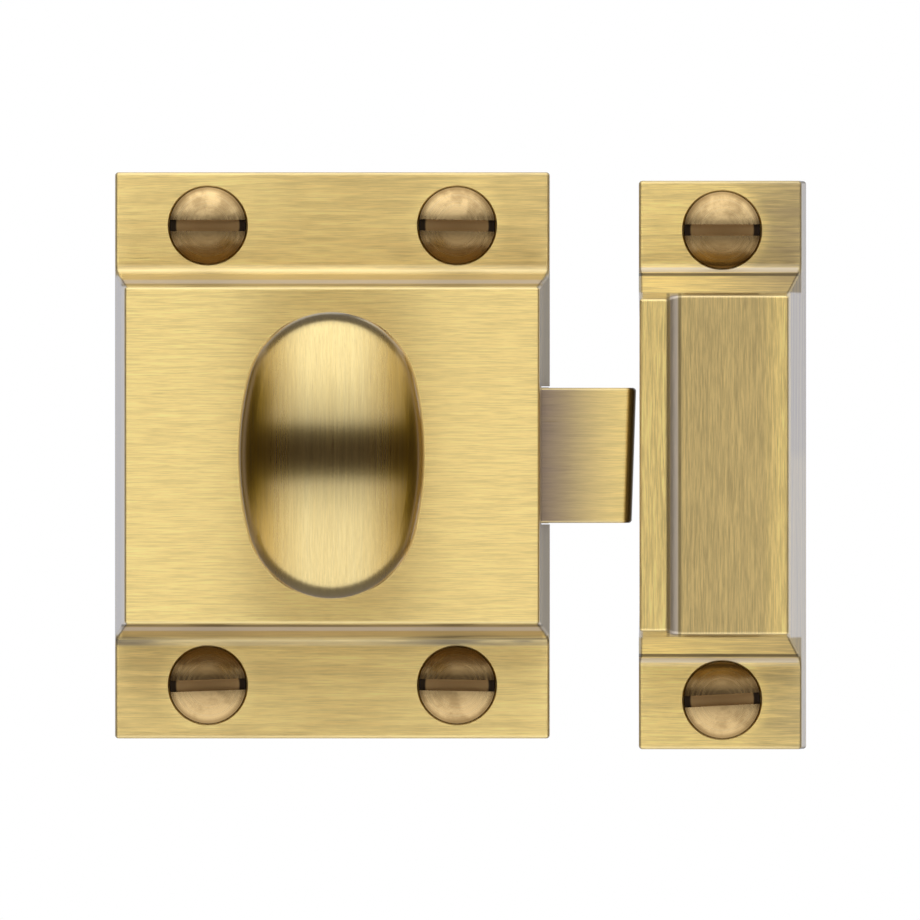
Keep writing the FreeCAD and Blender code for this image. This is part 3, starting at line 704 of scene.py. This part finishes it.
def woodScrew():
    # Head: rows across the slot at z = R sin(a), columns along it; the rows beside the slot are doubled, once
    # on the dome and once on the slot's floor. Body: the head's outline carried down the axis by bodyRadius.
    s = screwSizes
    slotAngle = math.asin(s["slotHalf"] / s["headRadius"])
    side = np.linspace(slotAngle, np.pi / 2, s["sectors"])
    floor = np.linspace(-slotAngle, slotAngle, s["floorRows"])
    angle = np.concatenate([-side[::-1], floor, side])
    cut = np.concatenate([np.zeros(len(side)), np.ones(len(floor)), np.zeros(len(side))])[:, None]
    floorRadius = s["headRadius"] - (s["slotFloor"] - s["landY"])
    z = s["headRadius"] * np.sin(angle)[:, None]
    reach = np.where(cut > 0, np.sqrt(floorRadius**2 - z**2), s["headRadius"] * np.cos(angle)[:, None])
    x = reach * np.sin(np.linspace(-np.pi / 2, np.pi / 2, s["columns"]))[None, :]
    z = z + 0 * x
    y = np.where(cut > 0, s["slotFloor"], domeY(np.minimum(np.hypot(x, z), s["headRadius"])))
    head = np.stack([x, y, z], -1)
    top = np.concatenate([head[:, -1], head[::-1, 0]])  # the head's outline, once round
    turn = np.arctan2(top[:, 2], top[:, 0])[None, :]
    coneEnd = s["landY"] + s["headRadius"] - s["shankRadius"]
    levels = np.concatenate([
        [s["landY"], s["slotFloor"], (s["landY"] + coneEnd) / 2, coneEnd, s["shankEnd"] - 0.02],
        np.arange(0.0, s["pointY"], s["pitch"] / s["stepsPerTurn"]), [s["pointY"]],
    ])[:, None]
    depth = np.maximum(levels, top[None, :, 1])
    radius = bodyRadius(depth, turn)
    body = np.stack([radius * np.cos(turn), depth, radius * np.sin(turn)], -1)
    body = np.concatenate([top[None], body])
    points = np.concatenate([head.reshape(-1, 3), body.reshape(-1, 3)])
    quads = np.concatenate([
        gridQuads(*head.shape[:2]),
        gridQuads(*body.shape[:2], closed=True, first=head.shape[0] * head.shape[1]),
    ])
    return points, quads


def placedScrews(name, node, places, tilts):
    points, quads = woodScrew()
    allPoints, allQuads, allPlaces = [], [], []
    for (x, z), tilt in zip(places, np.radians(tilts)):
        leaning = points.copy()
        leaning[:, 0] = points[:, 0] * np.cos(tilt) + points[:, 2] * np.sin(tilt)
        leaning[:, 2] = points[:, 2] * np.cos(tilt) - points[:, 0] * np.sin(tilt)
        allQuads.append(quads + len(points) * len(allPoints))
        allPoints.append(leaning + np.array([x, 0, z]))
        allPlaces.append(points)
    piece = newPiece(
        name, np.concatenate(allPoints) * mm, np.concatenate(allQuads), finishes["screws"],
        ("screwPlace", np.concatenate(allPlaces)),
    )
    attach(piece, "case_and_keep")
    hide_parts(node)


caseHalfX = mounts["case_fixings"]["dims"]["spacing_x_mm"] / 2
caseHalfZ = mounts["case_fixings"]["dims"]["spacing_y_mm"] / 2
keepX, keepZ = (mounts["keep_fixings"]["pos_m"][axis] / mm for axis in (0, 2))
keepHalfZ = mounts["keep_fixings"]["dims"]["spacing_y_mm"] / 2
placedScrews(
    "case_wood_screws", "case_screws",
    [(-caseHalfX, caseHalfZ), (caseHalfX, caseHalfZ), (-caseHalfX, -caseHalfZ), (caseHalfX, -caseHalfZ)],
    (0.0, 1.0, -2.0, 1.0),
)
placedScrews(
    "keep_wood_screws", "keep_screws", [(keepX, keepZ + keepHalfZ), (keepX, keepZ - keepHalfZ)], (0.0, -3.0),
)
print("wood screws cut")

# Coil spring, millimetres, from the lug in the case to the floor of the bolt's bore
coilSizes = {
    "start": 6.1, "end": 21.3, "y": -5.375, "radius": 1.25, "wire": 0.4, "turns": 12.0, "closed": 1.25,
    "closedPitch": 1.02, "travel": 7.5, "stepsPerTurn": 36, "sides": 14,
}


def coilSpring():
    # A circle carried along a helix about X. The pitch is one wire at each end and even between the closed
    # turns.
    c = coilSizes
    length = c["end"] - c["start"]
    turn = np.linspace(0, c["turns"], int(c["turns"] * c["stepsPerTurn"]) + 1)
    lead = c["wire"] * (0.5 + c["closed"] * c["closedPitch"])
    at = np.interp(turn, [0, c["closed"], c["turns"] - c["closed"], c["turns"]],
                   [c["wire"] / 2, lead, length - lead, length - c["wire"] / 2])
    angle = 2 * np.pi * turn
    out = np.stack([0 * angle, np.cos(angle), np.sin(angle)], -1)
    line = np.stack([c["start"] + at, 0 * at, 0 * at], -1) + c["radius"] * out + np.array([0, c["y"], 0])
    ahead = np.gradient(line, axis=0)
    ahead /= np.linalg.norm(ahead, axis=1, keepdims=True)
    up = np.cross(ahead, out)
    ring = np.linspace(0, 2 * np.pi, c["sides"] + 1)[:-1]
    circle = np.cos(ring)[None, :, None] * out[:, None] + np.sin(ring)[None, :, None] * up[:, None]
    tube = line[:, None] + c["wire"] / 2 * circle
    ends = [np.repeat(line[i][None, None], len(ring), axis=1) for i in (0, -1)]
    tube = np.concatenate([ends[0], tube, ends[1]])
    return tube.reshape(-1, 3), gridQuads(*tube.shape[:2], closed=True)


points, quads = coilSpring()
spring = newPiece("wound_spring", points * mm, quads, finishes["steel"])
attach(spring, "case_and_keep")
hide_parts("bolt_spring")
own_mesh(spring)
print("spring wound")

# Stage: floor far below the latch, and cards that only reflections see, as a studio's flags do
stageLook = {
    "floorZ": -0.6, "floorHalf": 1.6, "floorColour": (0.86, 0.86, 0.87, 1), "floorLift": 0.36,
    "floorRough": 0.9, "specks": 0.02, "speckLight": (0.97, 1.0), "roomLight": 0.75,
}


def newSheet(name, points, faces, material):
    mesh = bpy.data.meshes.new(name)
    mesh.from_pydata(points, [], faces)
    mesh.materials.append(material)
    sheet = addObject(name, mesh)
    return sheet


def seenByEye(tree):  # 1 on rays from the camera, from a reflection or through glass
    path = addNode(tree, "ShaderNodeLightPath").outputs
    onward = sums(tree, "MAXIMUM", path["Is Glossy Ray"], path["Is Transmission Ray"])
    return sums(tree, "MAXIMUM", path["Is Camera Ray"], onward)


def floorFinish():
    look = stageLook
    material, tree, shader = startMaterial("paleFloor")
    speck = noise(tree, objectPlace(tree), look["specks"], detail=3.0)
    grey = greyOf(tree, ramp(tree, speck, 0.3, 0.7, *look["speckLight"]))
    plug(tree, blend(tree, 1.0, look["floorColour"], grey, "MULTIPLY"), shader.inputs["Base Color"])
    shader.inputs["Roughness"].default_value = look["floorRough"]
    shader.inputs["Emission Color"].default_value = (1, 1, 1, 1)
    lift = ramp(tree, seenByEye(tree), 0.0, 1.0, 0.0, look["floorLift"])
    plug(tree, lift, shader.inputs["Emission Strength"])
    material.cycles.emission_sampling = "NONE"
    return material


def sheetCorners(low, high):
    (x0, y0, z0), (x1, y1, z1) = low, high
    if x0 == x1:
        return [(x0, y0, z0), (x0, y1, z0), (x0, y1, z1), (x0, y0, z1)]
    return [(x0, y0, z0), (x1, y0, z0), (x1, y1, z1), (x0, y1, z1)]


oneFace = [(0, 1, 2, 3)]
half, floorZ = stageLook["floorHalf"], stageLook["floorZ"]
newSheet("floor", sheetCorners((-half, -half, floorZ), (half, half, floorZ)), oneFace, floorFinish())

# Cards: flat sheets, solid in the middle and fading out along an axis or two. Each fade gives the axis, the
# middle, how far from it the card is solid, and where it has gone. Behind the latch they are grey, as the
# wall of a room is.
cards = {
    "leftFlag": {
        "low": (-0.9, -1.2, -0.6), "high": (-0.9, 0.8, 1.3), "colour": (0.035, 0.026, 0.02, 1),
        "fades": [("z", 0.1, 0.27, 0.62), ("y", 0.15, 0.65, 1.1)],
    },
    "rightFlag": {
        "low": (0.9, -1.2, -0.6), "high": (0.9, 0.8, 1.3), "colour": (0.035, 0.026, 0.02, 1),
        "fades": [("z", -0.06, 0.22, 0.65), ("y", 0.15, 0.5, 0.95)],
    },
    "leftStrip": {
        "low": (-0.88, 0.05, -0.6), "high": (-0.88, 0.55, 0.9), "colour": (0.42, 0.40, 0.46, 1),
        "fades": [("z", 0.0, 0.5, 0.9), ("y", 0.3, 0.1, 0.24)],
    },
    "rightStrip": {
        "low": (0.88, 0.1, -0.6), "high": (0.88, 0.5, 0.9), "colour": (0.45, 0.43, 0.49, 1),
        "fades": [("z", 0.0, 0.5, 0.9), ("y", 0.3, 0.06, 0.18)],
    },
    "topCard": {
        "low": (-1.2, -0.12, 0.95), "high": (1.2, 0.8, 0.95), "colour": (0.20, 0.19, 0.21, 1),
        "fades": [("y", 0.5, 0.42, 0.62)],
    },
    "underCard": {
        "low": (-1.2, -0.22, -0.55), "high": (1.2, 0.8, -0.55), "colour": (0.24, 0.23, 0.24, 1),
        "fades": [("y", 0.5, 0.52, 0.72)],
    },
    "topGlow": {
        "low": (-1.1, -1.38, 0.32), "high": (1.1, 0.0, 1.08), "colour": (1.7, 1.7, 1.7, 1),
        "fades": [("y", -0.55, 0.12, 0.80), ("x", -0.05, 0.2, 1.05)],
    },
    "lowGlow": {
        "low": (-1.1, -1.3, -0.30), "high": (1.1, 0.0, -0.58), "colour": (1.43, 1.43, 1.43, 1),
        "fades": [("y", -0.52, 0.12, 0.74), ("x", -0.08, 0.2, 1.0)],
    },
    "backCard": {
        "low": (-1.2, 0.8, -0.6), "high": (1.2, 0.8, 1.2), "colour": (0.57, 0.59, 0.67, 1),
        "fades": [],
    },
    "backShade": {
        "low": (0.0, 0.79, -0.6), "high": (0.4, 0.79, 1.2), "colour": (0.16, 0.165, 0.20, 1),
        "fades": [("x", 0.18, 0.05, 0.10)],
    },
    "backPale": {
        "low": (0.2, 0.78, -0.6), "high": (1.2, 0.78, 1.2), "colour": (0.80, 0.81, 0.88, 1),
        "fades": [("x", 0.7, 0.41, 0.46)],
    },
}

# The dark side of the room: a band round the front at the latch's height, an arc about the Z axis
darkBand = {
    "radius": 1.2, "reach": 115.0, "steps": 60, "low": -0.32, "high": 0.39,
    "colour": (0.046, 0.027, 0.012, 1), "fades": [("z", 0.035, 0.17, 0.31)],
}


def cardFinish(name, card):
    material = bpy.data.materials.new(name)
    material.use_nodes = True
    tree = material.node_tree
    tree.nodes.clear()
    place = dict(zip("xyz", parts(tree, addNode(tree, "ShaderNodeTexCoord").outputs["Object"])))
    cover = 1.0
    for axis, middle, solid, gone in card["fades"]:
        cover = times(tree, cover, fade(tree, awayFrom(tree, place[axis], middle), solid, gone))
    glow = addNode(tree, "ShaderNodeEmission", {0: card["colour"], 1: 1.0}).outputs[0]
    clear = addNode(tree, "ShaderNodeBsdfTransparent").outputs[0]
    surface = addNode(tree, "ShaderNodeMixShader", {0: cover, 1: clear, 2: glow}).outputs[0]
    addNode(tree, "ShaderNodeOutputMaterial", {0: surface})
    material.cycles.emission_sampling = "NONE"
    return material


def standCard(name, points, faces, card):
    sheet = newSheet(name, points, faces, cardFinish(name, card))
    sheet.visible_camera = sheet.visible_diffuse = sheet.visible_shadow = sheet.visible_transmission = False


def bandPoints(band):
    # x = r sin(a), y = -r cos(a), once at the band's foot and once at its top
    around = np.radians(np.linspace(-band["reach"], band["reach"], band["steps"]))
    level = np.array([band["low"], band["high"]])[:, None]
    ring = np.stack([np.sin(around) + 0 * level, -np.cos(around) + 0 * level], -1) * band["radius"]
    return np.concatenate([ring, (level + 0 * around)[:, :, None]], -1).reshape(-1, 3)


for name, card in cards.items():
    standCard(name, sheetCorners(card["low"], card["high"]), oneFace, card)
standCard("darkBand", bandPoints(darkBand).tolist(), gridQuads(2, darkBand["steps"]).tolist(), darkBand)

# White room: the camera and reflections see it at full white, other light from it is softer
world = bpy.data.worlds.new("whiteRoom")
bpy.context.scene.world = world
world.use_nodes = True
tree = world.node_tree
background = tree.nodes["Background"]
background.inputs["Color"].default_value = (1, 1, 1, 1)
strength = ramp(tree, seenByEye(tree), 0.0, 1.0, stageLook["roomLight"], 1.0)
plug(tree, strength, background.inputs["Strength"])

lamp = {"at": (0.1, -0.75, 1.1), "size": (1.6, 1.0), "power": 0.5}
light = bpy.data.lights.new("topSoftbox", "AREA")
light.shape = "RECTANGLE"
light.size, light.size_y = lamp["size"]
light.energy = lamp["power"]
holder = addObject("topSoftbox", light)
holder.location = lamp["at"]
aim = Vector((0.01, 0.0, 0.0)) - holder.location
holder.rotation_euler = aim.to_track_quat("-Z", "Y").to_euler()
print("stage set")

# Camera straight in front, far off: 920 pixels take in 81.3 mm of the latch
cameraPlace = {"x": 11.27, "z": -0.41, "distance": 2500.0, "across": 81.34, "sensor": 36.0, "sight": 20.0}
eye = bpy.data.cameras.new("frontCamera")
eye.sensor_width = cameraPlace["sensor"]
eye.lens = cameraPlace["sensor"] * cameraPlace["distance"] / cameraPlace["across"]
eye.clip_end = cameraPlace["sight"]
camera = addObject("frontCamera", eye)
camera.location = (cameraPlace["x"] * mm, -cameraPlace["distance"] * mm, cameraPlace["z"] * mm)
camera.rotation_euler = (math.pi / 2, 0, 0)
bpy.context.scene.camera = camera
bpy.context.scene.view_settings.view_transform = "Standard"
